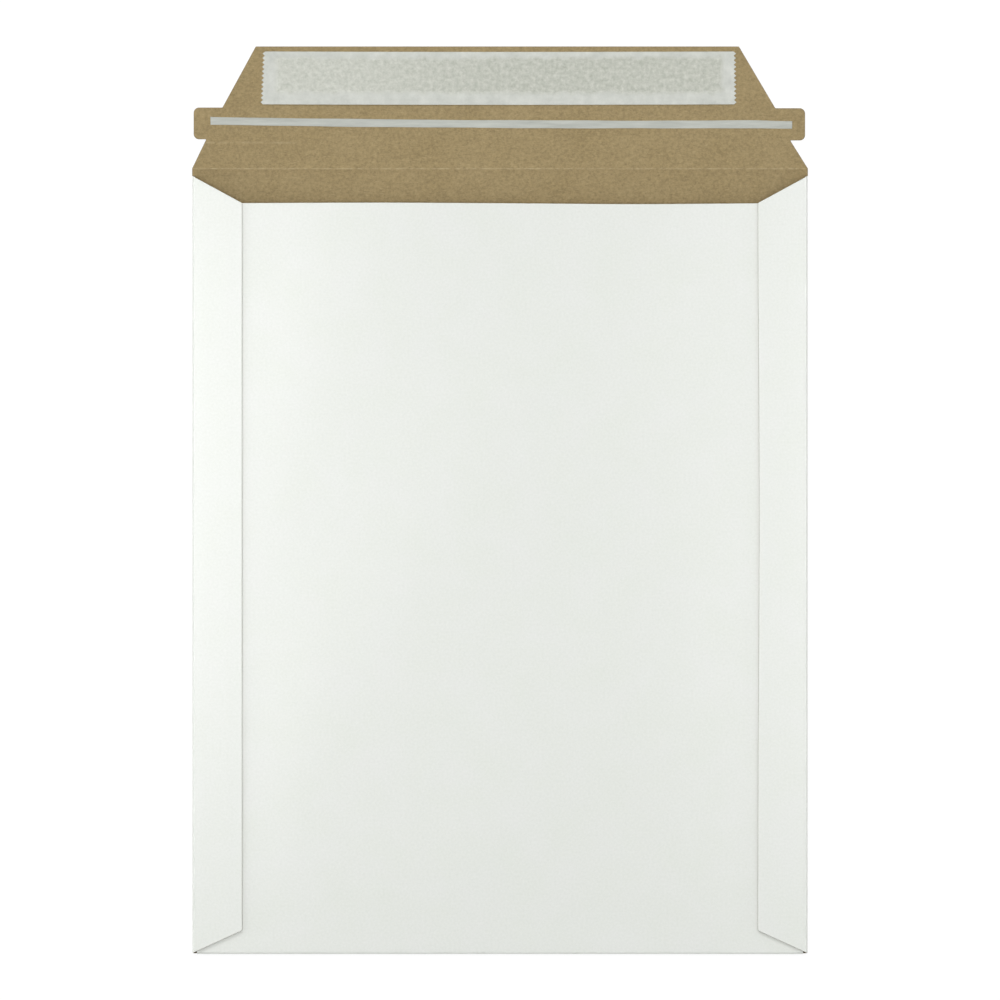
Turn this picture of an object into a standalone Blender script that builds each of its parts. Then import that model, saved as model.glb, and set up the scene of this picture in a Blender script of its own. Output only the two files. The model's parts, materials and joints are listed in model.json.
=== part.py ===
"""Rigid self-seal mailer: one die-cut, folded board with a tear tape and a peel-off seal.

It lies on its smooth face with the seam side up and its closure flap open flat. Units are metres.
+X is its right-hand side, +Y runs from the bottom fold to the closure flap, and +Z points up.
The origin is the bottom centre of the whole object's box.
"""
import math

import bmesh
import bpy
from mathutils import Matrix, Vector

# The folded body
BOARD = 0.00071
BODY_WIDTH = 0.2286
BODY_LENGTH = 0.2921
POCKET_GAP = 0.0042
MOUTH_DROP = 0.0128
RELIEF = 0.0003

# The glued side flaps, which lie over the front panel
SEAM_FLAP_WIDTH = 0.0186
SEAM_TIP_DROP = 0.0033
SEAM_FOOT_RISE = 0.0088
SEAM_CORNER_LIFT = 0.0004
SEAM_CORNER_RADIUS = 0.0007
SEAM_GAP = 0.0003
GLUE_WIDTH = 0.009
GLUE_CORNER_RADIUS = 0.003
GLUE_END_MARGIN = 0.012

# The closure flap: heights above its crease, and how far each corner is set in from the body's side
FLAP_LENGTH = 0.0454
NOTCH_RISE = 0.0104
EAR_RISE = 0.0225
NOTCH_INSET = 0.0059
EAR_INSET = 0.0007
SHOULDER_INSET = 0.0116
TIP_INSET = 0.0246
EAR_RADIUS = 0.002
SMALL_RADIUS = 0.0004
FLAP_LEAN = -0.001
CREASE_SLIT = 0.0003
CLOSED_GAP = 0.0003

# The tear tape, whose rises above the notch are those of its left end, middle and right end
FILM_GAP = 0.0001
TAPE_THICKNESS = 0.0001
TAPE_WIDTH = 0.0027
TAPE_END_INSET = 0.0065
TAPE_SHIFT = 0.0005
TAPE_RISES = (0.0073, 0.0061, 0.0059)
TAPE_SEGMENTS = 24

# The release liner, between the ears and the tip, and the adhesive that it covers
LINER_THICKNESS = 0.00008
LINER_TIP_MARGIN = 0.00205
LINER_EAR_MARGIN = 0.00135
LINER_SHIFT = -0.0004
PINKING_TEETH = 12
PINKING_DEPTH = 0.0009
ADHESIVE_THICKNESS = 0.00012
ADHESIVE_END_INSET = 0.0046
ADHESIVE_TOP_INSET = 0.0021
ADHESIVE_FOOT_INSET = 0.004

# How finely round shapes are divided, how near a cut counts as on a corner, and where shading breaks
FOLD_SEGMENTS = 16
ARC_STEPS = 6
CUT_TOLERANCE = 1e-7
SHARP_ANGLE = math.radians(30)

# Worked out from the sizes above
HALF_WIDTH = BODY_WIDTH / 2
BOTTOM_Y = -(BODY_LENGTH + FLAP_LENGTH) / 2
CREASE_Y = BOTTOM_Y + BODY_LENGTH
MOUTH_Y = CREASE_Y - MOUTH_DROP
FRONT_TOP = 2 * BOARD + POCKET_GAP
SEAM_TOP = FRONT_TOP + SEAM_GAP + BOARD
SIDE_RADIUS = SEAM_TOP / 2
SIDE_ARC = math.pi * (SIDE_RADIUS - BOARD / 2)
FLAT_HALF = HALF_WIDTH - SIDE_RADIUS
BOTTOM_RADIUS = FRONT_TOP / 2
BOTTOM_ARC = math.pi * (BOTTOM_RADIUS - BOARD / 2)
FLAT_BOTTOM_Y = BOTTOM_Y + BOTTOM_RADIUS
SEAM_INNER = HALF_WIDTH - SEAM_FLAP_WIDTH
LINER_HALF = HALF_WIDTH - TIP_INSET - LINER_TIP_MARGIN
LINER_FOOT_Y = CREASE_Y + EAR_RISE + LINER_EAR_MARGIN
LINER_TOP_Y = CREASE_Y + FLAP_LENGTH - LINER_TIP_MARGIN
HINGE_HEIGHT = (SEAM_TOP + CLOSED_GAP + TAPE_THICKNESS + FILM_GAP + BOARD) / 2


def material(name, srgb, roughness):
    """A Principled material from an 8-bit sRGB colour, none of whose values is near black."""
    result = bpy.data.materials.new(name)
    result.use_nodes = True
    shader = result.node_tree.nodes["Principled BSDF"]
    linear = [((c / 255 + 0.055) / 1.055) ** 2.4 for c in srgb]
    shader.inputs["Base Color"].default_value = (*linear, 1)
    shader.inputs["Roughness"].default_value = roughness
    shader.inputs["Metallic"].default_value = 0
    return result


def rounded(corners):
    """Outline points from (x, y, radius) corners, with an arc at each corner that has a radius."""
    points = []
    for i, (x, y, radius) in enumerate(corners):
        here = Vector((x, y))
        if radius == 0:
            points.append(here)
            continue
        before = (Vector(corners[i - 1][:2]) - here).normalized()
        after = (Vector(corners[(i + 1) % len(corners)][:2]) - here).normalized()
        half_angle = before.angle(after) / 2
        centre = here + (before + after).normalized() * radius / math.sin(half_angle)
        first = (here + before * radius / math.tan(half_angle) - centre).normalized()
        last = (here + after * radius / math.tan(half_angle) - centre).normalized()
        for step in range(ARC_STEPS + 1):
            spoke = first.slerp(last, step / ARC_STEPS).normalized()
            points.append(centre + spoke * radius)
    return points


def rectangle(low_x, high_x, low_y, high_y, radius):
    """Corners of an upright rectangle, for rounded()."""
    return [(x, y, radius) for x, y in ((low_x, low_y), (high_x, low_y), (high_x, high_y), (low_x, high_y))]


def slab(outline, low, thickness):
    """A flat sheet of this outline, from height low up to low + thickness."""
    mesh = bmesh.new()
    face = mesh.faces.new([mesh.verts.new((x, y, low)) for x, y in outline])
    made = bmesh.ops.extrude_face_region(mesh, geom=[face], use_keep_orig=True)["geom"]
    raised = [item for item in made if isinstance(item, bmesh.types.BMVert)]
    bmesh.ops.translate(mesh, vec=(0, 0, thickness), verts=raised)
    bmesh.ops.recalc_face_normals(mesh, faces=mesh.faces[:])
    return mesh


def place(name, mesh, materials, parent=None):
    """Turns the mesh into an object, which keeps its place when it has a parent."""
    data = bpy.data.meshes.new(name)
    mesh.to_mesh(data)
    mesh.free()
    for item in materials:
        data.materials.append(item)
    data.shade_smooth()
    data.set_sharp_from_angle(angle=SHARP_ANGLE)
    result = bpy.data.objects.new(name, data)
    bpy.context.collection.objects.link(result)
    if parent:
        result.parent = parent
        result.matrix_parent_inverse = Matrix.Translation(parent.location).inverted()
    return result


def seam_top_y(x):
    """The side flap's slanted top edge, from the mouth out to the tip at the side fold."""
    slope = (MOUTH_DROP - SEAM_TIP_DROP) / SEAM_FLAP_WIDTH
    return MOUTH_Y + (x - SEAM_INNER) * slope


def seam_bottom_y(x):
    """The side flap's slanted bottom edge, from its inner corner out to the side fold."""
    slope = (SEAM_FOOT_RISE - SEAM_CORNER_LIFT) / SEAM_FLAP_WIDTH
    return BOTTOM_Y + SEAM_CORNER_LIFT + (HALF_WIDTH - x) * slope


def side_fold_stations():
    """Each bend line of the side fold: its turn, its x in the flat blank and its x once folded."""
    for step in range(FOLD_SEGMENTS + 1):
        turn = math.pi * step / FOLD_SEGMENTS
        across = FLAT_HALF + SIDE_ARC * step / FOLD_SEGMENTS
        yield turn, across, FLAT_HALF + SIDE_RADIUS * math.sin(turn)


def blank_half():
    """The right half of the flat blank's outline, from the crease down to the mouth.

    Below the rear panel, the bottom fold and the front panel run on down. Beside it, the side fold and
    the glue flap run on outwards. The fold's lower half is cut square, and its upper half on the slant.
    """
    tip_y = CREASE_Y - SEAM_TIP_DROP
    corner_y = BOTTOM_Y + SEAM_CORNER_LIFT
    inner_edge = FLAT_HALF + SIDE_ARC + FLAT_HALF - SEAM_INNER
    front_half = FLAT_HALF - RELIEF
    mouth_end = FLAT_BOTTOM_Y - BOTTOM_ARC - (MOUTH_Y - FLAT_BOTTOM_Y)
    corners = [(HALF_WIDTH, CREASE_Y - CREASE_SLIT / 2, 0)]
    corners += [(HALF_WIDTH, tip_y + RELIEF, 0), (FLAT_HALF, tip_y + RELIEF, 0)]
    stations = list(side_fold_stations())
    for turn, across, x in stations:
        corners.append((across, tip_y if turn < math.pi / 2 else seam_top_y(x), 0))
    corners.append((inner_edge, MOUTH_Y, SEAM_CORNER_RADIUS))
    corners.append((inner_edge, BOTTOM_Y + SEAM_FOOT_RISE, SEAM_CORNER_RADIUS))
    for turn, across, x in reversed(stations):
        corners.append((across, corner_y if turn < math.pi / 2 else seam_bottom_y(x), 0))
    corners += [(FLAT_HALF, FLAT_BOTTOM_Y, 0), (front_half, FLAT_BOTTOM_Y, 0)]
    corners.append((front_half, mouth_end, SMALL_RADIUS))
    return corners


def fold(across, along, depth):
    """Where a point of the blank lies once folded; depth is measured in from the white outer face."""
    side = math.copysign(1, across)
    past_side = abs(across) - FLAT_HALF
    past_bottom = FLAT_BOTTOM_Y - along
    if past_side > 0 and along < CREASE_Y - SEAM_TIP_DROP + RELIEF / 2:
        turn = math.pi * min(past_side / SIDE_ARC, 1)
        reach = (SIDE_RADIUS - depth) * math.sin(turn) - max(past_side - SIDE_ARC, 0)
        return side * (FLAT_HALF + reach), along, SIDE_RADIUS - (SIDE_RADIUS - depth) * math.cos(turn)
    if past_bottom > 0 and past_side < 0:
        turn = math.pi * min(past_bottom / BOTTOM_ARC, 1)
        reach = (BOTTOM_RADIUS - depth) * math.sin(turn) - max(past_bottom - BOTTOM_ARC, 0)
        return across, FLAT_BOTTOM_Y - reach, BOTTOM_RADIUS - (BOTTOM_RADIUS - depth) * math.cos(turn)
    return across, along, depth


def mailer_body(white, kraft):
    """The blank, cut along its bend lines, thickened and folded into the pocket."""
    right = blank_half()
    left = [(-x, y, radius) for x, y, radius in reversed(right)]
    mesh = slab(rounded(right + left), 0, BOARD)
    bmesh.ops.triangulate(mesh, faces=mesh.faces[:])
    bends = []
    for _, across, _ in side_fold_stations():
        bends += [((across, 0, 0), (1, 0, 0)), ((-across, 0, 0), (1, 0, 0))]
    for step in range(FOLD_SEGMENTS + 1):
        bends.append(((0, FLAT_BOTTOM_Y - BOTTOM_ARC * step / FOLD_SEGMENTS, 0), (0, 1, 0)))
    for point, normal in bends:
        geometry = mesh.verts[:] + mesh.edges[:] + mesh.faces[:]
        bmesh.ops.bisect_plane(mesh, geom=geometry, dist=CUT_TOLERANCE, plane_co=point, plane_no=normal)
    for face in mesh.faces:
        outer = all(vert.co.z < BOARD / 2 for vert in face.verts)
        face.material_index = 0 if outer else 1
    for vert in mesh.verts:
        vert.co = fold(*vert.co)
    bmesh.ops.recalc_face_normals(mesh, faces=mesh.faces[:])
    return place("mailer_body", mesh, [white, kraft])


def seam_glue(side, name, glue):
    """A glue line between the front panel and one side flap."""
    middle = side * (SEAM_INNER + FLAT_HALF) / 2
    ends = (BOTTOM_Y + GLUE_END_MARGIN, MOUTH_Y - GLUE_END_MARGIN)
    corners = rectangle(middle - GLUE_WIDTH / 2, middle + GLUE_WIDTH / 2, *ends, GLUE_CORNER_RADIUS)
    mesh = slab(rounded(corners), FRONT_TOP + FILM_GAP, SEAM_GAP - 2 * FILM_GAP)
    return place(name, mesh, [glue])


def on_flap(x, rise):
    """A point of the flap, at this height above the crease, with the die-cut's slight sideways lean."""
    return x + FLAP_LEAN * (rise - CREASE_SLIT / 2) / FLAP_LENGTH, CREASE_Y + rise


def closure_flap(white, kraft, hinge):
    """The flap: tapered root, two round-cornered ears where the tear tape ends, and a tapered tip."""
    right = [
        (HALF_WIDTH, CREASE_SLIT / 2, 0),
        (HALF_WIDTH - NOTCH_INSET, NOTCH_RISE, SMALL_RADIUS),
        (HALF_WIDTH - EAR_INSET, NOTCH_RISE, EAR_RADIUS),
        (HALF_WIDTH - EAR_INSET, EAR_RISE, EAR_RADIUS),
        (HALF_WIDTH - SHOULDER_INSET, EAR_RISE, SMALL_RADIUS),
        (HALF_WIDTH - TIP_INSET, FLAP_LENGTH, SMALL_RADIUS),
    ]
    left = [(-x, rise, radius) for x, rise, radius in reversed(right)]
    outline = rounded([(*on_flap(x, rise), radius) for x, rise, radius in right + left])
    mesh = slab(outline, 0, BOARD)
    for face in mesh.faces:
        face.material_index = 0 if face.normal.z < -0.5 else 1
    return place("closure_flap", mesh, [white, kraft], hinge)


def tear_tape(tape, hinge):
    """A narrow tape from ear to ear that bows a little along its length."""
    left, middle, right = (NOTCH_RISE + rise for rise in TAPE_RISES)
    half_length = HALF_WIDTH - TAPE_END_INSET
    centres = []
    for step in range(TAPE_SEGMENTS + 1):
        t = 2 * step / TAPE_SEGMENTS - 1
        rise = middle + (right - left) / 2 * t + ((left + right) / 2 - middle) * t * t
        centres.append((TAPE_SHIFT + t * half_length, CREASE_Y + rise))
    low = [(x, y - TAPE_WIDTH / 2) for x, y in centres]
    high = [(x, y + TAPE_WIDTH / 2) for x, y in centres]
    mesh = slab(low + high[::-1], BOARD + FILM_GAP, TAPE_THICKNESS)
    return place("tear_tape", mesh, [tape], hinge)


def adhesive_strip(adhesive, hinge):
    """The self-seal adhesive, set in from every edge of its liner."""
    half = LINER_HALF - ADHESIVE_END_INSET
    rises = (LINER_FOOT_Y + ADHESIVE_FOOT_INSET, LINER_TOP_Y - ADHESIVE_TOP_INSET)
    corners = rectangle(LINER_SHIFT - half, LINER_SHIFT + half, *rises, SMALL_RADIUS)
    mesh = slab(rounded(corners), BOARD + FILM_GAP, ADHESIVE_THICKNESS)
    return place("adhesive_strip", mesh, [adhesive], hinge)


def release_liner(paper, hinge):
    """The paper strip over the adhesive, with pinked ends."""
    middle_y = (LINER_FOOT_Y + LINER_TOP_Y) / 2
    half_height = (LINER_TOP_Y - LINER_FOOT_Y) / 2
    end = []
    for step in range(2 * PINKING_TEETH + 1):
        inset = PINKING_DEPTH if step % 2 else 0
        end.append((LINER_HALF - inset, half_height * (step / PINKING_TEETH - 1)))
    outline = [(LINER_SHIFT + x, middle_y + y) for x, y in end]
    outline += [(LINER_SHIFT - x, middle_y - y) for x, y in end]
    low = BOARD + 2 * FILM_GAP + ADHESIVE_THICKNESS
    return place("release_liner", slab(outline, low, LINER_THICKNESS), [paper], hinge)


def flap_hinge():
    """The closure flap's axis, above the crease so that the closed flap clears the seam flaps."""
    result = bpy.data.objects.new("flap_hinge", None)
    result.location = (0, CREASE_Y, HINGE_HEIGHT)
    bpy.context.collection.objects.link(result)
    return result


def main():
    for item in list(bpy.data.objects):
        bpy.data.objects.remove(item)
    white = material("white_coated_board", (236, 238, 233), 0.45)
    kraft = material("kraft_board", (158, 140, 103), 0.85)
    tape = material("tear_tape_film", (188, 189, 184), 0.4)
    adhesive = material("adhesive_film", (194, 196, 186), 0.3)
    liner = material("release_paper", (206, 208, 200), 0.5)
    glue = material("seam_glue_film", (224, 216, 190), 0.5)
    mailer_body(white, kraft)
    seam_glue(-1, "seam_glue_left", glue)
    seam_glue(1, "seam_glue_right", glue)
    hinge = flap_hinge()
    closure_flap(white, kraft, hinge)
    tear_tape(tape, hinge)
    adhesive_strip(adhesive, hinge)
    release_liner(liner, hinge)


main()
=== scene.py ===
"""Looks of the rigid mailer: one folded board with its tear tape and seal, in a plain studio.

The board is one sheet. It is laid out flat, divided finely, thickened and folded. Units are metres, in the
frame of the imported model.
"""
import json
import math

import bmesh
import bpy
import numpy as np
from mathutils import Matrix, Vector


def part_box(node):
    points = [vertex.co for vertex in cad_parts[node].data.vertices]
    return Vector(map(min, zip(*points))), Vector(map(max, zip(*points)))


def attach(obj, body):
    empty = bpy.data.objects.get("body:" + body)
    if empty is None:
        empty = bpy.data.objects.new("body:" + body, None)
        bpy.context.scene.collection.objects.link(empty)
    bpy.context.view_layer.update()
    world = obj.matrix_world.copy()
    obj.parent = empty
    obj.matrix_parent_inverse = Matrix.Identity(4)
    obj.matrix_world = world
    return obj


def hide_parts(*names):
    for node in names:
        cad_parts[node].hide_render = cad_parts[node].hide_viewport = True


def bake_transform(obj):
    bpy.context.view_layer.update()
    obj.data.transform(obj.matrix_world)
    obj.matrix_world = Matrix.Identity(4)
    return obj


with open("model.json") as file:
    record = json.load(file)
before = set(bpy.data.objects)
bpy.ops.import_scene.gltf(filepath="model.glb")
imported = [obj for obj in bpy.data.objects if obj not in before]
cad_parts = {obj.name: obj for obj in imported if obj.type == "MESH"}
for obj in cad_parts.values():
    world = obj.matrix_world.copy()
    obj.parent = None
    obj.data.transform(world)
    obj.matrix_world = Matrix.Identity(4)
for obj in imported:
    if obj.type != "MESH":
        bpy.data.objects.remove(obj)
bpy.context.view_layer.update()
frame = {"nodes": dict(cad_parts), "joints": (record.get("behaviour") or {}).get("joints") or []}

# Sizes read from the frame
BODY_LOW, BODY_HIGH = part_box("mailer_body")
FLAP_LOW, FLAP_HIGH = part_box("closure_flap")
LINER_LOW, LINER_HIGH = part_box("release_liner")
ADHESIVE_LOW, ADHESIVE_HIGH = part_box("adhesive_strip")
TAPE_LOW, TAPE_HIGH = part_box("tear_tape")
CREASE_Y = frame["joints"][0]["pos_m"][1]
BOARD = FLAP_HIGH.z - FLAP_LOW.z
HALF_WIDTH = BODY_HIGH.x
BOTTOM_Y = BODY_LOW.y
FLAP_LENGTH = FLAP_HIGH.y - CREASE_Y

# The folded body and its glued side flaps. The drops are from the crease and the rises and lifts from the
# bottom, and the relief is the slot between parts of the blank that fold apart
MOUTH_DROP = 0.013
RELIEF = 0.00012
SEAM_FLAP_WIDTH = 0.0186
SEAM_TIP_DROP = 0.00295
SEAM_FOOT_RISE = 0.0088
SEAM_CORNER_LIFT = 0.0004
SEAM_CORNER_RADIUS = 0.0007
SEAM_GAP = 0.0003
FRONT_INSET = 0.0016
FOOT_LIFT = 0.0001
SCORE_RADIUS = 0.00076

# The closure flap, which was cut a little aslant: each corner's x, rise above the crease and radius, from the
# tip by the shoulder, the ear and the notch down to the crease, where the board is widest
SMALL_RADIUS = 0.0004
EAR_RADIUS = 0.002
NOTCH_RADIUS = 0.0002
END_HALF = HALF_WIDTH + 0.00025
FLAP_LEFT = (
    (-0.09087, FLAP_LENGTH, SMALL_RADIUS), (-0.10327, 0.02267, SMALL_RADIUS), (-0.11397, 0.02267, EAR_RADIUS),
    (-0.11397, 0.01085, EAR_RADIUS), (-0.1093, 0.01085, NOTCH_RADIUS), (-END_HALF, 0, 0),
)
FLAP_RIGHT = (
    (0.08889, FLAP_LENGTH, SMALL_RADIUS), (0.10243, 0.02243, SMALL_RADIUS), (0.11351, 0.02243, EAR_RADIUS),
    (0.11351, 0.01042, EAR_RADIUS), (0.108, 0.01042, NOTCH_RADIUS), (END_HALF, 0, 0),
)

# Score lines on the kraft side: ridges with a sharp side towards the flap, of the rise length, and a round
# one towards the body, of the fall length
CREASE_RIDGE_RISE = 0.00005
CREASE_RIDGE_HEIGHT = 0.0002
SECOND_RIDGE_RISE = 0.0093
SECOND_RIDGE_HEIGHT = 0.00012
RIDGE_RISE_LENGTH = 0.0008
CREASE_FALL_LENGTH = 0.0011
SECOND_FALL_LENGTH = 0.003
# The second score shows on the left only: where it fades in, where it ends and how faint it is elsewhere
SECOND_RIDGE_FADE = (0.07, 0.08)
SECOND_RIDGE_END = (-0.108, -0.105)
SECOND_RIDGE_FAINT = 0.2
# Where the second score's worn fibres and painted highlight fade in at the left
SECOND_HIGHLIGHT_FADE = (-0.072, -0.08)
# Pale fibres worn by rubbing, with a painted highlight, along the two scores: rise above the crease, half
# width and strength. They are a little stronger at the left
CREASE_RUB_HIGHLIGHT = (-0.0001, 0.00035, 0.75)
SECOND_RUB_HIGHLIGHT = (0.0096, 0.0006, 0.48)
RUB_HIGHLIGHT_ACROSS = (1.0, 0.85)
# Lengths beside the crease that are finely divided
SECOND_RIDGE_MARGIN = 0.0012
RIDGE_BAND = 0.0036
BEND_BAND = 0.0024

# How the real board strays from flat and straight: humps are (height, centre, width), and waves are
# (height, radians a metre along x, along y, phase)
STILL_REACH = 0.03
PANEL_RISE = 0.00006
PANEL_WAVES = ((0.00004, 31, 17, 0.6), (0.00003, 58, -43, 2.1))
FLAP_RISE = 0.00007
FLAP_WAVES = ((0.00004, 47, 0, 1.2), (0.00003, 83, 70, 0))
FLAP_LIFT_SPAN = (0.006, 0.02)
MOUTH_OUT = (0.00019, -0.0483, 0.0334)
MOUTH_IN = (0.00037, 0.0502, 0.0372)
SEAM_STRAY = 0.0001
RIGHT_SEAM_BOW = (0.00055, -0.0075, 0.0706)

# The films: the tape's rises above the crease are at its left end, middle and right end, and its right end
# droops within the span. The liner's window is lighter in its left part, a painted sheen, and its flares are
# at its left and right end
TAPE_WIDTH = 0.0029
TAPE_RISES = (0.0177, 0.0165, 0.0165)
TAPE_OVERRUN = 0.0004
TAPE_DROOP = 0.0003
TAPE_DROOP_SPAN = (0.092, 0.109)
TAPE_EDGE_WAVES = ((0.00004, 90, 0, 0), (0.00003, 211, 0, 1))
FILM_THICKNESS = 0.00008
PAPER_GAP = 0.00001
ADHESIVE_SOFT = 0.0012
WINDOW_SOFT = 0.0009
WINDOW_WANDER = 0.003
SHEEN_SPAN = (0.0, -0.05)
PAINTED_SHEEN_SHARE = 0.1
LINER_SLIP = 0.0002
LINER_BOW = 0.0003
LINER_OVERRUN = 0.00065
LINER_FLARES = (0.00042, 0.0001)
LINER_FREE_BAND = 0.002
LINER_FREE_RISE = 0.0002
LINER_LEFT_RISE = 0.00012
LINER_LEFT_SPAN = (-0.02, 0.04)
PINKING_TEETH = 12
PINKING_DEPTH = 0.0009

# Fineness of the meshes
SCORE_SEGMENTS = 10
SPINE_SEGMENTS = 4
SCORE_MARGIN = 0.0001
ARC_STEPS = 8
PANEL_STEP = 0.0036
RIDGE_STEP = 0.0002
FILM_STEP = 0.002
TAPE_ROW_STEP = 0.0006
TAPE_LINE_SHIFT = 0.0003
LINER_STEP = 0.0018
LINER_ROW_STEP = 0.0009
CUT_TOLERANCE = 1e-6
EDGE_ROUND = 0.00014
TAPE_ROUND = 0.00006
PAPER_ROUND = 0.00004
# Section of a cut edge, from the white face to the kraft face: shares of its rounding and of the board
EDGE_SECTION = ((0.4, 0.04), (0.72, 0.15), (0.93, 0.34), (1.0, 0.58), (0.88, 0.85), (0.5, 0.97))
FILM_SECTION = ((0.7, 0.2), (1.0, 0.5), (0.7, 0.8))
# The first rows of a cut edge's faces have the first face's material
COATED_ROWS = 2

# Worked out from the sizes above
MOUTH_Y = CREASE_Y - MOUTH_DROP
SEAM_TOP = BODY_HIGH.z
FRONT_TOP = SEAM_TOP - SEAM_GAP - BOARD
FLAT_HALF = HALF_WIDTH - SCORE_RADIUS
FRONT_HALF = HALF_WIDTH - FRONT_INSET
FLAT_BOTTOM_Y = BOTTOM_Y + SCORE_RADIUS
SEAM_INNER = HALF_WIDTH - SEAM_FLAP_WIDTH
TIP_Y = CREASE_Y - SEAM_TIP_DROP
CORNER_Y = BOTTOM_Y + SEAM_CORNER_LIFT

# The view: the photograph's width in metres at the object, and how far off the camera stands
VIEW_WIDTH = 0.3721
CAMERA_DISTANCE = 4
CAMERA_REACH = 20
SENSOR = 36

# The studio: a floor just under the object, the room's even light and what its walls add, and the lamps, each
# with its place, size and power, aimed at the object
FLOOR_HALF = 6
FLOOR_Z = -0.0002
FLOOR_SHADED = 0.14
FLOOR_GLOW = 0.9
FLOOR_BOUNCE = 0.9
ROOM_LIGHT = 0.262
WALL_LIGHT = 0.9
LAMPS = (
    ("key", (-0.36, 0.03, 1.5), 0.35, 5.3),
    ("side", (0.36, 0.018, 1.13), 0.4, 3.12),
    ("top", (-0.4, 2.6, 2.2), 1.3, 36.0),
    ("left", (-1.3, 0.0, 0.45), 0.5, 2.8),
)


def rounded(corners):
    """Outline points from (x, y, radius) corners, with an arc at each corner that has a radius."""
    points = []
    for i, (x, y, radius) in enumerate(corners):
        here = Vector((x, y))
        if radius == 0:
            points.append(here)
            continue
        before = (Vector(corners[i - 1][:2]) - here).normalized()
        after = (Vector(corners[(i + 1) % len(corners)][:2]) - here).normalized()
        half_angle = before.angle(after) / 2
        centre = here + (before + after).normalized() * radius / math.sin(half_angle)
        first = (here + before * radius / math.tan(half_angle) - centre).normalized()
        last = (here + after * radius / math.tan(half_angle) - centre).normalized()
        for step in range(ARC_STEPS + 1):
            spoke = first.slerp(last, step / ARC_STEPS).normalized()
            points.append(centre + spoke * radius)
    return np.array(points, float)


def mitres(points):
    """For each point of a closed anticlockwise outline, the step that moves it one unit outwards."""
    edges = np.roll(points, -1, 0) - points
    edges /= np.linalg.norm(edges, axis=1)[:, None]
    after = np.stack([edges[:, 1], -edges[:, 0]], 1)
    before = np.roll(after, 1, 0)
    return (before + after) / (1 + (before * after).sum(1))[:, None]


def shared_out(points, corners, values):
    """Values given at a closed outline's corners, shared out evenly to the points on its edges."""
    edges = np.roll(corners, -1, 0) - corners
    past = points[:, None] - corners
    share = np.clip((past * edges).sum(2) / (edges ** 2).sum(1), 0, 1)
    nearest = np.linalg.norm(past - share[..., None] * edges, axis=2).argmin(1)
    share = share[np.arange(len(points)), nearest][:, None]
    return values[nearest] * (1 - share) + np.roll(values, -1, 0)[nearest] * share


def smooth_step(value, low, high):
    """0 up to low and 1 from high, with a smooth rise between them."""
    share = np.clip((value - low) / (high - low), 0, 1)
    return share * share * (3 - 2 * share)


def inside_band(value, low, high, soft):
    """1 between low and high, with a smooth fall over the soft length beyond each."""
    return smooth_step(value, low - soft, low) * smooth_step(-value, -high - soft, -high)


def hump(value, height, centre, width):
    """A smooth hump of this height about a centre."""
    return height * np.exp(-(((value - centre) / width) ** 2))


def waves(x, y, terms):
    """Sum of sine waves, each with its height, its rates of turn along x and along y, and its phase."""
    return sum(height * np.sin(a * x + b * y + phase) for height, a, b, phase in terms)


def steps(low, high, size):
    """Evenly spaced values from low to high, both included, about size apart."""
    return np.linspace(low, high, max(2, round(abs(high - low) / size) + 1))


def fold_section(top):
    """A fold's outer face, from flat below to flat above: its points, inward normals and lengths.

    The lengths run along the middle of the board. It is scored twice, so it has two tight bends with a narrow
    upright spine between them.
    """
    turns = np.linspace(0, math.pi / 2, SCORE_SEGMENTS + 1)
    turn = np.concatenate([turns, np.full(SPINE_SEGMENTS - 1, math.pi / 2), turns + math.pi / 2])
    spine = np.linspace(0, top - 2 * SCORE_RADIUS, SPINE_SEGMENTS + 1)
    rise = np.concatenate([np.zeros(SCORE_SEGMENTS), spine, np.full(SCORE_SEGMENTS, spine[-1])])
    inward = np.stack([-np.sin(turn), np.cos(turn)])
    outer = np.stack([np.zeros(len(rise)), SCORE_RADIUS + rise]) - inward * SCORE_RADIUS
    middle = outer + inward * BOARD / 2
    lengths = np.concatenate([[0], np.cumsum(np.hypot(*np.diff(middle, axis=1)))])
    return outer, inward, lengths


SIDE_FOLD = fold_section(SEAM_TOP)
BOTTOM_FOLD = fold_section(FRONT_TOP)
SIDE_ARC = SIDE_FOLD[2][-1]
BOTTOM_ARC = BOTTOM_FOLD[2][-1]
INNER_EDGE = FLAT_HALF + SIDE_ARC + FLAT_HALF - SEAM_INNER
MOUTH_END = FLAT_BOTTOM_Y - BOTTOM_ARC - (MOUTH_Y - FLAT_BOTTOM_Y)


def bent(fold, past, depth):
    """How far out and how high the sheet lies at this length past the start of its fold and this depth."""
    outer, inward, lengths = fold
    out = np.interp(past, lengths, outer[0]) + np.interp(past, lengths, inward[0]) * depth
    up = np.interp(past, lengths, outer[1]) + np.interp(past, lengths, inward[1]) * depth
    return out - np.maximum(past - lengths[-1], 0), up


def side_fold_stations():
    """Each bend line of the side fold: its share of the height, its x in the blank and its x once folded."""
    outer, _, lengths = SIDE_FOLD
    return list(zip(outer[1] / SEAM_TOP, FLAT_HALF + lengths, FLAT_HALF + outer[0]))


def seam_top_y(x):
    """The side flap's slanted top edge, from the mouth out to the tip at the side fold."""
    return MOUTH_Y + (x - SEAM_INNER) * (MOUTH_DROP - SEAM_TIP_DROP) / SEAM_FLAP_WIDTH


def seam_bottom_y(x):
    """The side flap's slanted bottom edge, from its inner corner out to the side fold."""
    return CORNER_Y + (HALF_WIDTH - x) * (SEAM_FOOT_RISE - SEAM_CORNER_LIFT) / SEAM_FLAP_WIDTH


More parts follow.
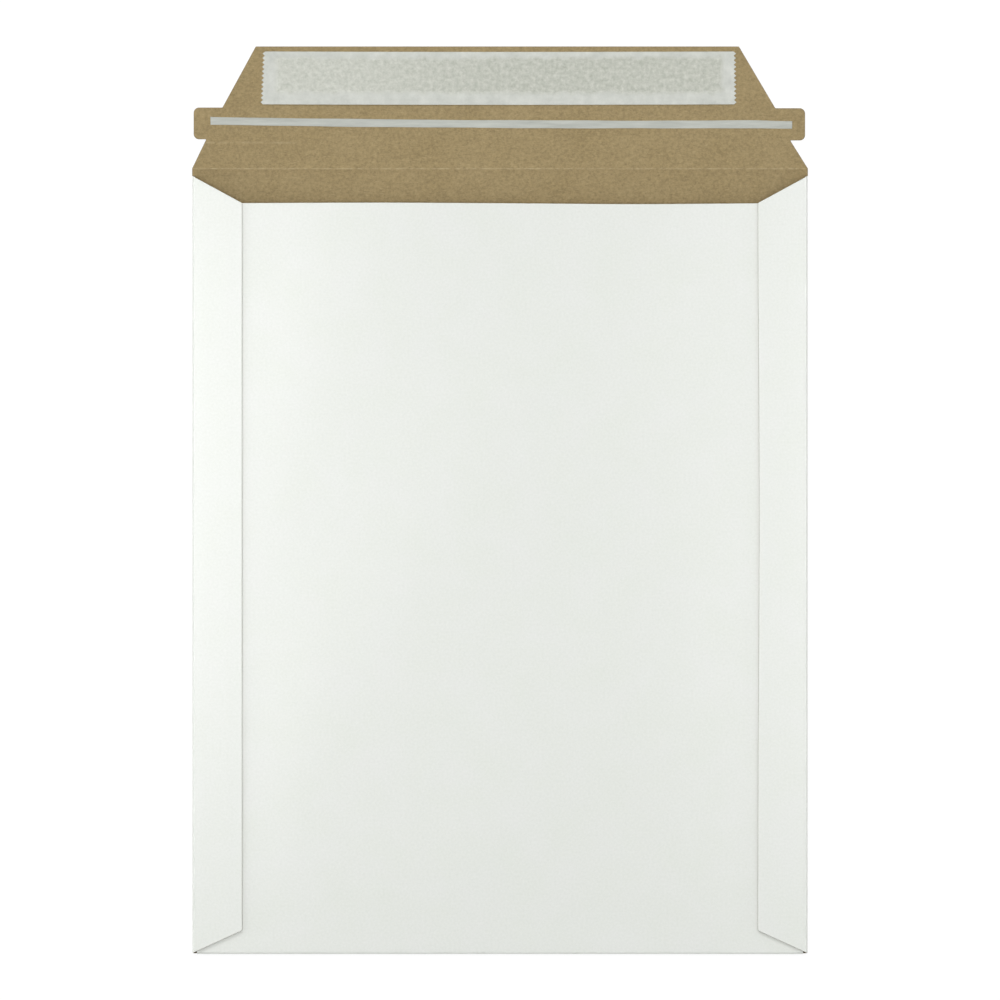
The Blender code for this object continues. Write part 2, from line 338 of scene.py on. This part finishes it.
def blank_outline():
    """The whole flat blank, anticlockwise, from the closure flap's tip round by the left side."""
    right = [(END_HALF, TIP_Y + RELIEF, 0), (FLAT_HALF, TIP_Y + RELIEF, 0)]
    stations = side_fold_stations()
    for share, across, x in stations:
        right.append((across, TIP_Y if share < 0.5 else seam_top_y(x), 0))
    right.append((INNER_EDGE, MOUTH_Y, SEAM_CORNER_RADIUS))
    right.append((INNER_EDGE, BOTTOM_Y + SEAM_FOOT_RISE, SEAM_CORNER_RADIUS))
    for share, across, x in reversed(stations):
        foot_y = BOTTOM_Y + FOOT_LIFT + 2 * share * (SEAM_CORNER_LIFT - FOOT_LIFT)
        right.append((across, foot_y if share < 0.5 else seam_bottom_y(x), 0))
    right.append((FRONT_HALF + RELIEF, BOTTOM_Y + FOOT_LIFT, 0))
    right += [(FRONT_HALF + RELIEF, FLAT_BOTTOM_Y, 0), (FRONT_HALF, FLAT_BOTTOM_Y, 0)]
    right.append((FRONT_HALF, MOUTH_END, SMALL_RADIUS))
    left = [(-x, y, radius) for x, y, radius in right]
    flap_left, flap_right = [[(x, CREASE_Y + y, r) for x, y, r in side] for side in (FLAP_LEFT, FLAP_RIGHT)]
    return rounded(flap_left + left + right[::-1] + flap_right[::-1])


def divided(outline, across_lines, along_lines):
    """A flat sheet of this outline, divided along upright and level lines."""
    mesh = bmesh.new()
    mesh.faces.new([mesh.verts.new((x, y, 0)) for x, y in outline])
    cuts = [((x, 0, 0), (1, 0, 0)) for x in across_lines] + [((0, y, 0), (0, 1, 0)) for y in along_lines]
    for point, normal in cuts:
        geometry = mesh.verts[:] + mesh.edges[:] + mesh.faces[:]
        bmesh.ops.bisect_plane(mesh, geom=geometry, dist=CUT_TOLERANCE, plane_co=point, plane_no=normal)
    return mesh


def boundary_loop(mesh):
    """Indices of the sheet's outline vertices in order, anticlockwise."""
    following = {}
    for edge in mesh.edges:
        if edge.is_boundary:
            corner = edge.link_loops[0]
            following[corner.vert.index] = corner.link_loop_next.vert.index
    loop = [next(iter(following))]
    while following[loop[-1]] != loop[0]:
        loop.append(following[loop[-1]])
    return loop


def thick_sheet(name, outline, across_lines, along_lines, thickness, edge_round, section, place, materials):
    """A sheet object: first face, second face and rounded cut edges, put in place by place().

    place() takes flat coordinates and the depth from the first face, and gives points in the frame. The
    materials are those of the first face, the second face and the cut edge.
    """
    outward = mitres(outline)
    inset = outline - edge_round * outward
    mesh = divided(inset, across_lines, along_lines)
    mesh.verts.index_update()
    mesh.faces.ensure_lookup_table()
    flat = np.array([vert.co.xy for vert in mesh.verts])
    cells = [[vert.index for vert in face.verts] for face in mesh.faces]
    if mesh.faces[0].normal.z < 0:
        bmesh.ops.reverse_faces(mesh, faces=mesh.faces[:])
        cells = [cell[::-1] for cell in cells]
    loop = boundary_loop(mesh)
    mesh.free()
    count = len(flat)
    outward = shared_out(flat[loop], inset, outward)
    across_along = [flat, flat]
    depths = [np.zeros(count), np.full(count, thickness)]
    rows = [loop]
    for outset, depth in section:
        rows.append(list(range(2 * count + (len(rows) - 1) * len(loop), 2 * count + len(rows) * len(loop))))
        across_along.append(flat[loop] + outward * outset * edge_round)
        depths.append(np.full(len(loop), depth * thickness))
    rows.append([index + count for index in loop])
    faces = [cell[::-1] for cell in cells] + [[index + count for index in cell] for cell in cells]
    kinds = [0] * len(cells) + [1] * len(cells)
    for level, (low, high) in enumerate(zip(rows, rows[1:])):
        for i in range(len(loop)):
            j = (i + 1) % len(loop)
            faces.append((low[i], low[j], high[j], high[i]))
            kinds.append(0 if level < COATED_ROWS else 2)
    blank = np.column_stack([np.concatenate(across_along), np.concatenate(depths)])
    data = bpy.data.meshes.new(name)
    data.from_pydata(place(*blank.T).tolist(), [], faces)
    for item in materials:
        data.materials.append(item)
    data.polygons.foreach_set("material_index", kinds)
    data.shade_smooth()
    rim = set()
    for row in (rows[0], rows[-1]):
        rim |= {frozenset((row[i], row[(i + 1) % len(row)])) for i in range(len(row))}
    sharp = [frozenset(edge.vertices) in rim for edge in data.edges]
    attribute = data.attributes.new("sharp_edge", "BOOLEAN", "EDGE")
    attribute.data.foreach_set("value", sharp)
    attribute = data.attributes.new("blank", "FLOAT_VECTOR", "POINT")
    attribute.data.foreach_set("vector", blank.ravel())
    data.validate()
    result = bpy.data.objects.new(name, data)
    bpy.context.scene.collection.objects.link(result)
    return result


def panel_wave(x, y):
    """How far the front panel bows up off flat. It is still along its folds and under the side flaps."""
    free = smooth_step(-np.abs(x), -SEAM_INNER, -SEAM_INNER + STILL_REACH)
    free *= smooth_step(y, FLAT_BOTTOM_Y, FLAT_BOTTOM_Y + STILL_REACH)
    return free * (PANEL_RISE + waves(x, y, PANEL_WAVES))


def mouth_wave(x, y):
    """How far the front panel's free edge strays from straight: out at the left and in at the right."""
    return smooth_step(y, MOUTH_Y - STILL_REACH, MOUTH_Y) * (hump(x, *MOUTH_OUT) - hump(x, *MOUTH_IN))


def seam_stray(side, y):
    """How far out a side flap's inner edge strays from straight; the right one bows at its middle."""
    return np.where(side < 0, SEAM_STRAY, SEAM_STRAY + hump(y, *RIGHT_SEAM_BOW))


def flap_wave(x, y):
    """How far the open flap stands off the surface it lies on."""
    free = smooth_step(y - CREASE_Y, *FLAP_LIFT_SPAN)
    return free * (FLAP_RISE + waves(x, y, FLAP_WAVES))


def ridge(rise, height, fall_length):
    """A score's raised line at rise 0."""
    gentle = np.exp(-np.maximum(rise, 0) / RIDGE_RISE_LENGTH)
    return height * np.where(rise > 0, gentle, np.exp(-((rise / fall_length) ** 2)))


def score_ridges(x, y):
    """Height of the score lines on the kraft face; the second is faint but for its left part."""
    left_part = smooth_step(-x, *SECOND_RIDGE_FADE) * smooth_step(x, *SECOND_RIDGE_END)
    left_part = SECOND_RIDGE_FAINT + (1 - SECOND_RIDGE_FAINT) * left_part
    crease = ridge(y - CREASE_Y - CREASE_RIDGE_RISE, CREASE_RIDGE_HEIGHT, CREASE_FALL_LENGTH)
    second = ridge(y - CREASE_Y - SECOND_RIDGE_RISE, SECOND_RIDGE_HEIGHT * left_part, SECOND_FALL_LENGTH)
    return crease + second


def folded(across, along, depth):
    """Where points of the flat blank lie once folded; depth runs from the white face to the kraft face."""
    side = np.sign(across)
    past_side = np.abs(across) - FLAT_HALF
    past_bottom = FLAT_BOTTOM_Y - along
    beside = (past_side > 0) & (along < TIP_Y + RELIEF / 2)
    below = (past_bottom > 0) & (np.abs(across) < FRONT_HALF + RELIEF / 2)
    reach, height = bent(SIDE_FOLD, past_side, depth)
    inner_share = np.clip((past_side - SIDE_ARC) / (INNER_EDGE - FLAT_HALF - SIDE_ARC), 0, 1)
    x = np.where(beside, side * (FLAT_HALF + reach + inner_share * seam_stray(side, along)), across)
    z = np.where(beside, height, depth)
    reach, height = bent(BOTTOM_FOLD, past_bottom, depth)
    y = np.where(below, FLAT_BOTTOM_Y - reach, along)
    z = np.where(below, height + panel_wave(x, y), z)
    y = np.where(below, y + mouth_wave(x, y), y)
    z += np.where(beside | below, 0, flap_wave(x, y) + score_ridges(across, along) * depth / BOARD)
    return np.column_stack([x, y, z])


def srgb(red, green, blue):
    """Linear colour from 8-bit values, none of which is near black."""
    return tuple(((c / 255 + 0.055) / 1.055) ** 2.4 for c in (red, green, blue)) + (1,)


def add(tree, kind, settings=(), **inputs):
    """A shader node; each input is a value or another node's output, named as its socket is."""
    made = tree.nodes.new("ShaderNode" + kind)
    for key, value in dict(settings).items():
        setattr(made, key, value)
    for key, value in inputs.items():
        socket = made.inputs[int(key[1:]) if key[1:].isdigit() else key.replace("_", " ")]
        if isinstance(value, bpy.types.NodeSocket):
            tree.links.new(value, socket)
        else:
            socket.default_value = value
    return made


def ramp(tree, factor, first, last, low=0.3, high=0.7):
    """Colour from first to last as the factor goes from low to high; the usual ends suit plain noise."""
    made = add(tree, "ValToRGB", Fac=factor)
    for element, position, colour in zip(made.color_ramp.elements, (low, high), (first, last)):
        element.position = position
        element.color = colour
    return made.outputs["Color"]


def grey(value):
    """A neutral linear colour."""
    return (value, value, value, 1)


def new_material(name):
    """A material's node tree, its Principled shader and the flat blank's coordinates."""
    made = bpy.data.materials.new(name)
    made.use_nodes = True
    tree = made.node_tree
    place = add(tree, "Attribute", {"attribute_name": "blank"}).outputs["Vector"]
    return made, tree, tree.nodes["Principled BSDF"], place


def noise(tree, place, scale, detail=3.0, roughness=0.5, stretch=None, turn=0.0):
    """Noise over the blank, for fibres drawn out along a turned direction."""
    if stretch:
        place = add(
            tree, "Mapping", Vector=place, Rotation=(0, 0, turn), Scale=(1, stretch, 1)
        ).outputs["Vector"]
    made = add(tree, "TexNoise", Vector=place, Scale=scale, Detail=detail, Roughness=roughness)
    return made.outputs["Fac"]


def mixed(tree, factor, first, second, blend="MIX"):
    """Two colours mixed by a factor."""
    settings = {"data_type": "RGBA", "blend_type": blend}
    made = add(tree, "Mix", settings, _0=factor, _6=first, _7=second)
    return made.outputs[2]


def maths(tree, operation, first, second=0.0):
    """One operation on one or two values."""
    return add(tree, "Math", {"operation": operation}, _0=first, _1=second).outputs[0]


def rescaled(tree, value, low, high, start=0.0, end=1.0):
    """The value taken from low and high to start and end, and held there beyond them."""
    made = add(tree, "MapRange", Value=value, From_Min=low, From_Max=high, To_Min=start, To_Max=end)
    return made.outputs["Result"]


def coordinate(tree, place, axis):
    """One coordinate of a place."""
    return add(tree, "SeparateXYZ", Vector=place).outputs[axis]


def dressed(tree, shader, tone, relief=None, depth=0.0):
    """Gives a shader its colour, and a bump of this depth where there is a relief."""
    tree.links.new(tone, shader.inputs["Base Color"])
    if relief is not None:
        bump = add(tree, "Bump", Strength=1.0, Distance=depth, Height=relief)
        tree.links.new(bump.outputs["Normal"], shader.inputs["Normal"])


def white_board():
    """Clay-coated white face: fine fibre mottle under a satin coat."""
    made, tree, shader, place = new_material("white_coated_board")
    fine = noise(tree, place, 1100, 4, 0.65)
    cloud = noise(tree, place, 60, 3)
    fibres = noise(tree, place, 420, 3, 0.6, 3.2, 0.35)
    tone = ramp(tree, cloud, srgb(218.5, 222, 215.5), srgb(220.5, 223, 218.5))
    tone = mixed(tree, 0.55, tone, ramp(tree, fine, grey(0.42), grey(0.58)), "OVERLAY")
    dressed(tree, shader, tone, maths(tree, "ADD", maths(tree, "MULTIPLY", fine, 0.6), fibres), 0.000006)
    tree.links.new(ramp(tree, fibres, grey(0.21), grey(0.27)), shader.inputs["Roughness"])
    shader.inputs["Specular IOR Level"].default_value = 0.75
    return made


def rubbed_highlight_line(tree, place, rise, half_width, strength):
    """Share of pale worn fibres and painted highlight along a score at this rise above the crease, broken
    along its length.
    """
    off = maths(tree, "ABSOLUTE", maths(tree, "SUBTRACT", coordinate(tree, place, "Y"), CREASE_Y + rise))
    line = rescaled(tree, off, 0.0, half_width, strength, 0.0)
    breaks = ramp(tree, noise(tree, place, 500, 3, 0.6), grey(0), grey(1), 0.36, 0.64)
    strength_across = rescaled(tree, coordinate(tree, place, "X"), -HALF_WIDTH, HALF_WIDTH, *RUB_HIGHLIGHT_ACROSS)
    return maths(tree, "MULTIPLY", maths(tree, "MULTIPLY", line, breaks), strength_across)


def kraft_board():
    """Uncoated kraft face: cloudy brown with fine pale and dark fibres, worn pale along the scores, with a
    painted highlight there.
    """
    made, tree, shader, place = new_material("kraft_board")
    cloud = noise(tree, place, 55, 5, 0.6)
    grain = noise(tree, place, 900, 5, 0.7)
    tone = ramp(tree, cloud, srgb(147.5, 130, 93), srgb(154.5, 137, 100))
    tone = mixed(tree, 0.7, tone, ramp(tree, grain, grey(0.31), grey(0.69), 0.25, 0.75), "OVERLAY")
    for turn, fibre_scale in ((0.2, 620), (1.3, 560), (2.4, 700)):
        fibre = noise(tree, place, fibre_scale, 2, 0.5, 7.0, turn)
        tone = mixed(tree, ramp(tree, fibre, grey(0), grey(0.30), 0.64, 0.72), tone, srgb(190, 172, 132))
        tone = mixed(tree, ramp(tree, fibre, grey(0.34), grey(0), 0.26, 0.35), tone, srgb(118, 100, 70))
    # Pale worn fibres and painted highlight along the scores, stronger at the left
    rubbed_highlight = rubbed_highlight_line(tree, place, *CREASE_RUB_HIGHLIGHT)
    second = rubbed_highlight_line(tree, place, *SECOND_RUB_HIGHLIGHT)
    left_part = rescaled(tree, coordinate(tree, place, "X"), *SECOND_HIGHLIGHT_FADE)
    rubbed_highlight = maths(tree, "MAXIMUM", rubbed_highlight, maths(tree, "MULTIPLY", second, left_part))
    dressed(tree, shader, mixed(tree, rubbed_highlight, tone, srgb(186, 170, 134)), grain, 0.00003)
    shader.inputs["Roughness"].default_value = 0.85
    shader.inputs["Specular IOR Level"].default_value = 0.25
    return made


def cut_edge():
    """The board's cut edge: grey-brown pulp."""
    made, tree, shader, place = new_material("cut_board_edge")
    pulp = noise(tree, place, 1500, 4, 0.7)
    dressed(tree, shader, ramp(tree, pulp, srgb(112, 98, 78), srgb(150, 134, 108)), pulp, 0.00004)
    shader.inputs["Roughness"].default_value = 0.9
    return made


def tape_film():
    """Milky plastic tear tape with faint streaks along it."""
    made, tree, shader, place = new_material("tear_tape_film")
    streak = noise(tree, place, 60, 4, 0.65, 9.0, 0.0)
    dressed(tree, shader, ramp(tree, streak, srgb(160, 163, 156), srgb(184, 187, 179)))
    shader.inputs["Roughness"].default_value = 0.38
    return made


def liner_paper():
    """Release paper, through which the mottled adhesive shows as a greyer window, with a painted sheen at its
    left.
    """
    made, tree, shader, place = new_material("release_paper")
    x, y = coordinate(tree, place, "X"), coordinate(tree, place, "Y")
    wander = maths(tree, "SUBTRACT", noise(tree, place, 260, 3), 0.5)
    wander = maths(tree, "MULTIPLY", wander, WINDOW_WANDER)
    inside = None
    for value, low, high in ((x, ADHESIVE_LOW.x, ADHESIVE_HIGH.x), (y, ADHESIVE_LOW.y, ADHESIVE_HIGH.y)):
        value = maths(tree, "ADD", value, wander)
        from_middle = maths(tree, "ABSOLUTE", maths(tree, "SUBTRACT", value, (low + high) / 2))
        depth = maths(tree, "SUBTRACT", (high - low) / 2, from_middle)
        share = rescaled(tree, depth, -WINDOW_SOFT, WINDOW_SOFT)
        inside = share if inside is None else maths(tree, "MULTIPLY", inside, share)
    mottle = noise(tree, place, 600, 5, 0.72)
    window = ramp(tree, mottle, srgb(162, 165, 153), srgb(199, 201, 191))
    # Painted sheen: the window is lighter towards its left end
    window = mixed(tree, rescaled(tree, x, *SHEEN_SPAN, 0.0, PAINTED_SHEEN_SHARE), window, srgb(228, 230, 223))
    margin = ramp(tree, noise(tree, place, 160, 6, 0.75), srgb(182, 185, 178), srgb(206, 208, 201))
    dressed(tree, shader, mixed(tree, inside, margin, window), mottle, 0.000006)
    tree.links.new(mixed(tree, inside, grey(0.45), grey(0.26)), shader.inputs["Roughness"])
    return made


def plain_film(name, dark, light, roughness):
    """A thin film or glue with a slight mottle, also for pieces that have no blank coordinates."""
    made, tree, shader, _ = new_material(name)
    place = add(tree, "TexCoord").outputs["Object"]
    dressed(tree, shader, ramp(tree, noise(tree, place, 500, 3), dark, light))
    shader.inputs["Roughness"].default_value = roughness
    return made


def folded_board(white, kraft, edge):
    """The whole board, body and flap, which is finely divided in a narrow band at the crease."""
    across = list(steps(-FLAT_HALF + SCORE_MARGIN, FLAT_HALF - SCORE_MARGIN, PANEL_STEP))
    for _, x, _ in side_fold_stations():
        across += [x, -x]
    for x in steps(FLAT_HALF + SIDE_ARC + SCORE_MARGIN, INNER_EDGE, PANEL_STEP)[:-1]:
        across += [x, -x]
    along = list(steps(MOUTH_END, FLAT_BOTTOM_Y - BOTTOM_ARC - SCORE_MARGIN, PANEL_STEP)[1:])
    along += list(FLAT_BOTTOM_Y - BOTTOM_FOLD[2])
    along += list(steps(FLAT_BOTTOM_Y + SCORE_MARGIN, CREASE_Y - BEND_BAND, PANEL_STEP)[:-1])
    along += list(steps(CREASE_Y - BEND_BAND, CREASE_Y + RIDGE_BAND, RIDGE_STEP))
    second = CREASE_Y + SECOND_RIDGE_RISE
    along += list(steps(CREASE_Y + RIDGE_BAND, second - SECOND_RIDGE_MARGIN, PANEL_STEP)[1:-1])
    along += list(steps(second - SECOND_RIDGE_MARGIN, second + RIDGE_BAND, RIDGE_STEP))
    along += list(steps(second + RIDGE_BAND, CREASE_Y + FLAP_LENGTH, PANEL_STEP)[1:-1])
    board = thick_sheet(
        "folded_board", blank_outline(), across, along, BOARD, EDGE_ROUND, EDGE_SECTION, folded,
        [white, kraft, edge],
    )
    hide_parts("mailer_body", "closure_flap")
    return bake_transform(board)


def on_kraft(lift, bow=0.0):
    """A place function for a film on the flap's kraft face, lifted by lift(x, y), its ends bowed up in y."""
    def place(across, along, depth):
        along = along + bow * (across / HALF_WIDTH) ** 2
        z = BOARD + flap_wave(across, along) + lift(across, along) + depth
        return np.column_stack([across, along, z])
    return place


def tear_tape(film):
    """The tape from ear to ear, slightly bowed and not quite even in width."""
    left, middle, right = TAPE_RISES
    x = steps(TAPE_LOW.x - TAPE_OVERRUN, TAPE_HIGH.x + TAPE_OVERRUN, FILM_STEP)
    t = np.linspace(-1, 1, len(x))
    centre = CREASE_Y + middle + (right - left) / 2 * t + ((left + right) / 2 - middle) * t * t
    centre -= TAPE_DROOP * smooth_step(x, *TAPE_DROOP_SPAN)
    half = TAPE_WIDTH / 2 + waves(x, 0, TAPE_EDGE_WAVES)
    low, high = np.column_stack([x, centre - half]), np.column_stack([x, centre + half])
    along = steps(TAPE_LOW.y, TAPE_HIGH.y, TAPE_ROW_STEP)
    tape = thick_sheet(
        "tear_tape_film", np.concatenate([low, high[::-1]]), x[1:-1] + TAPE_LINE_SHIFT, along,
        FILM_THICKNESS, TAPE_ROUND, FILM_SECTION, on_kraft(lambda x, y: 0), [film] * 3,
    )
    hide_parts("tear_tape")
    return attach(tape, "flap")


def adhesive_relief(x, y):
    """How far the adhesive lifts the liner, with soft edges."""
    share = inside_band(x, ADHESIVE_LOW.x, ADHESIVE_HIGH.x, ADHESIVE_SOFT)
    share *= inside_band(y, ADHESIVE_LOW.y, ADHESIVE_HIGH.y, ADHESIVE_SOFT)
    return share * (FILM_THICKNESS + PAPER_GAP)


def liner_lift(x, y):
    """The liner lies on the adhesive, and its lower edge has come up a little, most at the left."""
    free = smooth_step(-y, -LINER_LOW.y - LINER_FREE_BAND, -LINER_LOW.y)
    rise = LINER_FREE_RISE + LINER_LEFT_RISE * smooth_step(-x, *LINER_LEFT_SPAN)
    return PAPER_GAP + adhesive_relief(x, y) + free * rise


def release_liner(paper):
    """The paper strip with pinked ends, which lean outwards towards the crease."""
    low_y = LINER_LOW.y - LINER_SLIP
    middle_y = (low_y + LINER_HIGH.y) / 2
    half_height = (LINER_HIGH.y - low_y) / 2
    left_flare, right_flare = LINER_FLARES
    left, right = [], []
    for step in range(2 * PINKING_TEETH + 1):
        rise = step / PINKING_TEETH - 1
        out = LINER_OVERRUN - (0 if step % 2 else PINKING_DEPTH)
        left.append((LINER_LOW.x - out + left_flare * rise, middle_y + half_height * rise))
        right.append((LINER_HIGH.x + out - right_flare * rise, middle_y + half_height * rise))
    outline = right + left[::-1]
    across = steps(LINER_LOW.x, LINER_HIGH.x, LINER_STEP)[1:-1]
    along = steps(low_y, LINER_HIGH.y, LINER_ROW_STEP)[1:-1]
    liner = thick_sheet(
        "release_liner_paper", np.array(outline), across, along, FILM_THICKNESS, PAPER_ROUND, FILM_SECTION,
        on_kraft(liner_lift, LINER_BOW), [paper] * 3,
    )
    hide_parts("release_liner")
    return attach(liner, "flap")


def adhesive_strip(film):
    """The adhesive under the liner."""
    corners = [
        (ADHESIVE_LOW.x, ADHESIVE_LOW.y, SMALL_RADIUS), (ADHESIVE_HIGH.x, ADHESIVE_LOW.y, SMALL_RADIUS),
        (ADHESIVE_HIGH.x, ADHESIVE_HIGH.y, SMALL_RADIUS), (ADHESIVE_LOW.x, ADHESIVE_HIGH.y, SMALL_RADIUS),
    ]
    across = steps(ADHESIVE_LOW.x, ADHESIVE_HIGH.x, FILM_STEP)[1:-1]
    strip = thick_sheet(
        "adhesive_layer", rounded(corners), across, [(ADHESIVE_LOW.y + ADHESIVE_HIGH.y) / 2],
        FILM_THICKNESS, PAPER_ROUND, FILM_SECTION, on_kraft(lambda x, y: 0), [film] * 3,
    )
    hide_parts("adhesive_strip")
    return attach(strip, "flap")


def white_floor():
    """The floor: white to the camera but for the object's shadow, and a plain pale surface to the light."""
    corners = [(x * FLOOR_HALF, y * FLOOR_HALF, FLOOR_Z) for x, y in ((-1, -1), (1, -1), (1, 1), (-1, 1))]
    data = bpy.data.meshes.new("floor")
    data.from_pydata(corners, [], [(0, 1, 2, 3)])
    floor = bpy.data.objects.new("floor", data)
    bpy.context.scene.collection.objects.link(floor)
    made = bpy.data.materials.new("floor_white")
    made.use_nodes = True
    tree = made.node_tree
    tree.nodes.clear()
    path = add(tree, "LightPath")
    seen = maths(tree, "MAXIMUM", path.outputs["Is Camera Ray"], path.outputs["Is Glossy Ray"])
    seen = maths(tree, "MAXIMUM", seen, path.outputs["Is Transmission Ray"])
    shaded = add(tree, "BsdfDiffuse", Color=grey(FLOOR_SHADED)).outputs["BSDF"]
    glow = add(tree, "Emission", Color=grey(1), Strength=FLOOR_GLOW).outputs["Emission"]
    bright = add(tree, "AddShader", _0=shaded, _1=glow).outputs["Shader"]
    plain = add(tree, "BsdfDiffuse", Color=grey(FLOOR_BOUNCE)).outputs["BSDF"]
    surface = add(tree, "MixShader", _0=seen, _1=plain, _2=bright).outputs["Shader"]
    add(tree, "OutputMaterial", Surface=surface)
    data.materials.append(made)


def white_room():
    """The world: white to the camera, and a soft light that is strongest low down."""
    world = bpy.data.worlds.new("white_room")
    bpy.context.scene.world = world
    world.use_nodes = True
    tree = world.node_tree
    tree.nodes.clear()
    path = add(tree, "LightPath")
    seen = maths(tree, "MAXIMUM", path.outputs["Is Camera Ray"], path.outputs["Is Transmission Ray"])
    upwards = coordinate(tree, add(tree, "TexCoord").outputs["Generated"], "Z")
    low_down = maths(tree, "SUBTRACT", 1.0, maths(tree, "ABSOLUTE", upwards))
    walls = maths(tree, "MULTIPLY", maths(tree, "MULTIPLY", low_down, low_down), WALL_LIGHT)
    room = maths(tree, "ADD", walls, ROOM_LIGHT)
    strength = add(tree, "Mix", {"data_type": "FLOAT"}, _0=seen, _2=room, _3=1.0).outputs[0]
    add(tree, "OutputWorld", Surface=add(tree, "Background", Color=grey(1), Strength=strength).outputs[0])


def soft_lamps():
    """The four square lamps, aimed at the object."""
    for name, place, size, power in LAMPS:
        lamp = bpy.data.lights.new(name, "AREA")
        lamp.size = size
        lamp.energy = power
        holder = bpy.data.objects.new(name, lamp)
        holder.location = place
        holder.rotation_mode = "QUATERNION"
        holder.rotation_quaternion = (-Vector(place)).to_track_quat("-Z", "Y")
        bpy.context.scene.collection.objects.link(holder)


def camera_above():
    """The camera, straight above the object."""
    camera = bpy.data.cameras.new("camera")
    camera.sensor_width = SENSOR
    camera.lens = SENSOR * CAMERA_DISTANCE / VIEW_WIDTH
    camera.clip_end = CAMERA_REACH
    holder = bpy.data.objects.new("camera", camera)
    holder.location = (0, 0, CAMERA_DISTANCE)
    bpy.context.scene.collection.objects.link(holder)
    bpy.context.scene.camera = holder


def studio():
    """The floor, the world, the lamps and the camera."""
    bpy.context.scene.view_settings.view_transform = "Standard"
    white_floor()
    white_room()
    soft_lamps()
    camera_above()


def main():
    """The pieces in their materials, the glue lines' own nodes with a glue material, and the studio."""
    white, kraft, edge = white_board(), kraft_board(), cut_edge()
    folded_board(white, kraft, edge)
    tear_tape(tape_film())
    adhesive_strip(plain_film("adhesive_film", srgb(190, 190, 178), srgb(204, 204, 192), 0.3))
    release_liner(liner_paper())
    glue = plain_film("seam_glue", srgb(216, 207, 180), srgb(230, 222, 198), 0.5)
    for name in ("seam_glue_left", "seam_glue_right"):
        frame["nodes"][name].data.materials.clear()
        frame["nodes"][name].data.materials.append(glue)
    studio()


main()
